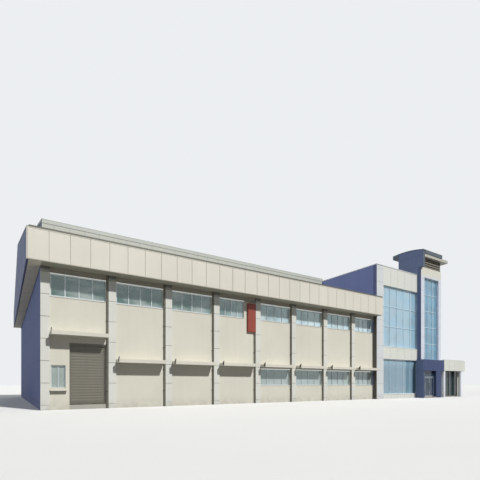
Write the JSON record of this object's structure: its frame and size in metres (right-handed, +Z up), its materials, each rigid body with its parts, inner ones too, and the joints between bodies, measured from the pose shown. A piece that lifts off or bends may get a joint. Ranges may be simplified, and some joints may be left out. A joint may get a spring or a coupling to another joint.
{
  "type": "1:2 scale model of a factory building",
  "caption": "Long factory hall with a raised roof monitor and deep boxed eaves, an office block with curtain walls, a stair tower, an entrance portal with doors and a low porch wing.",
  "frame": {"origin": "bottom centre of the whole building, on the ground it stands on", "axes": "+X along the front, to the right as seen from outside; +Y from the front to the back; +Z up"},
  "size_m": [22.005, 14.01, 7.9273],
  "materials": {
    "cream_render": "matt",
    "blue_render": "matt",
    "white_trim": "satin",
    "cream_panel": "satin",
    "blue_panel": "satin",
    "soffit_lining": "matt",
    "roof_metal": "satin",
    "dark_metal": "satin",
    "concrete": "matt",
    "frame_metal": "satin",
    "window_glass": "clear",
    "shutter_grey": "satin",
    "red_paint": "satin",
    "pipe_grey": "satin",
    "portal_blue": "satin"
  },
  "bodies": {
    "building": {"back_fascia": "cream_panel", "back_roof_slope": "roof_metal", "curtain_wall_frames": "frame_metal", "curtain_wall_glass": "window_glass", "dock_wall": "cream_render", "downpipes": "pipe_grey", "eaves_soffits": "soffit_lining", "entrance_frame": "frame_metal", "entrance_glass": "window_glass", "entrance_portal": "portal_blue", "front_fascia": "cream_panel", "front_roof_slope": "roof_metal", "gable_fascia": "blue_panel", "hall_back_wall": "cream_render", "hall_floor": "concrete", "hall_front_wall": "cream_render", "hall_head_beams": "cream_render", "hall_left_wall": "blue_render", "hall_piers": "cream_render", "hall_window_frames": "frame_metal", "hall_window_glass": "window_glass", "monitor_end_walls": "blue_panel", "monitor_roof": "roof_metal", "monitor_side_walls": "cream_panel", "office_bands": "cream_panel", "office_floors": "concrete", "office_piers": "white_trim", "office_roof": "roof_metal", "office_side_walls": "blue_render", "pilasters": "white_trim", "porch_columns": "white_trim", "porch_roof": "cream_panel", "red_panel": "red_paint", "roller_shutter": "shutter_grey", "roof_gutters": "dark_metal", "shutter_guides": "shutter_grey", "tower_back_wall": "cream_render", "tower_canopy": "cream_panel", "tower_front_wall": "cream_render", "tower_roof": "dark_metal", "tower_side_walls": "blue_render", "tower_vent_band": "dark_metal", "wall_ledges": "cream_render", "wing_walls": "cream_render"},
    "left_leaf": {"left_door_leaf": "frame_metal", "left_door_glass": "window_glass"},
    "right_leaf": {"right_door_leaf": "frame_metal", "right_door_glass": "window_glass"}
  },
  "joints": [
    {"name": "left_door_hinge", "type": "hinge", "parent": "building", "child": "left_leaf", "pos_m": [7.1255, -6.895, 0], "axis": [0, 0, 1], "range_deg": [-90, 0]},
    {"name": "right_door_hinge", "type": "hinge", "parent": "building", "child": "right_leaf", "pos_m": [7.9695, -6.895, 0], "axis": [0, 0, 1], "range_deg": [0, 90]}
  ]
}
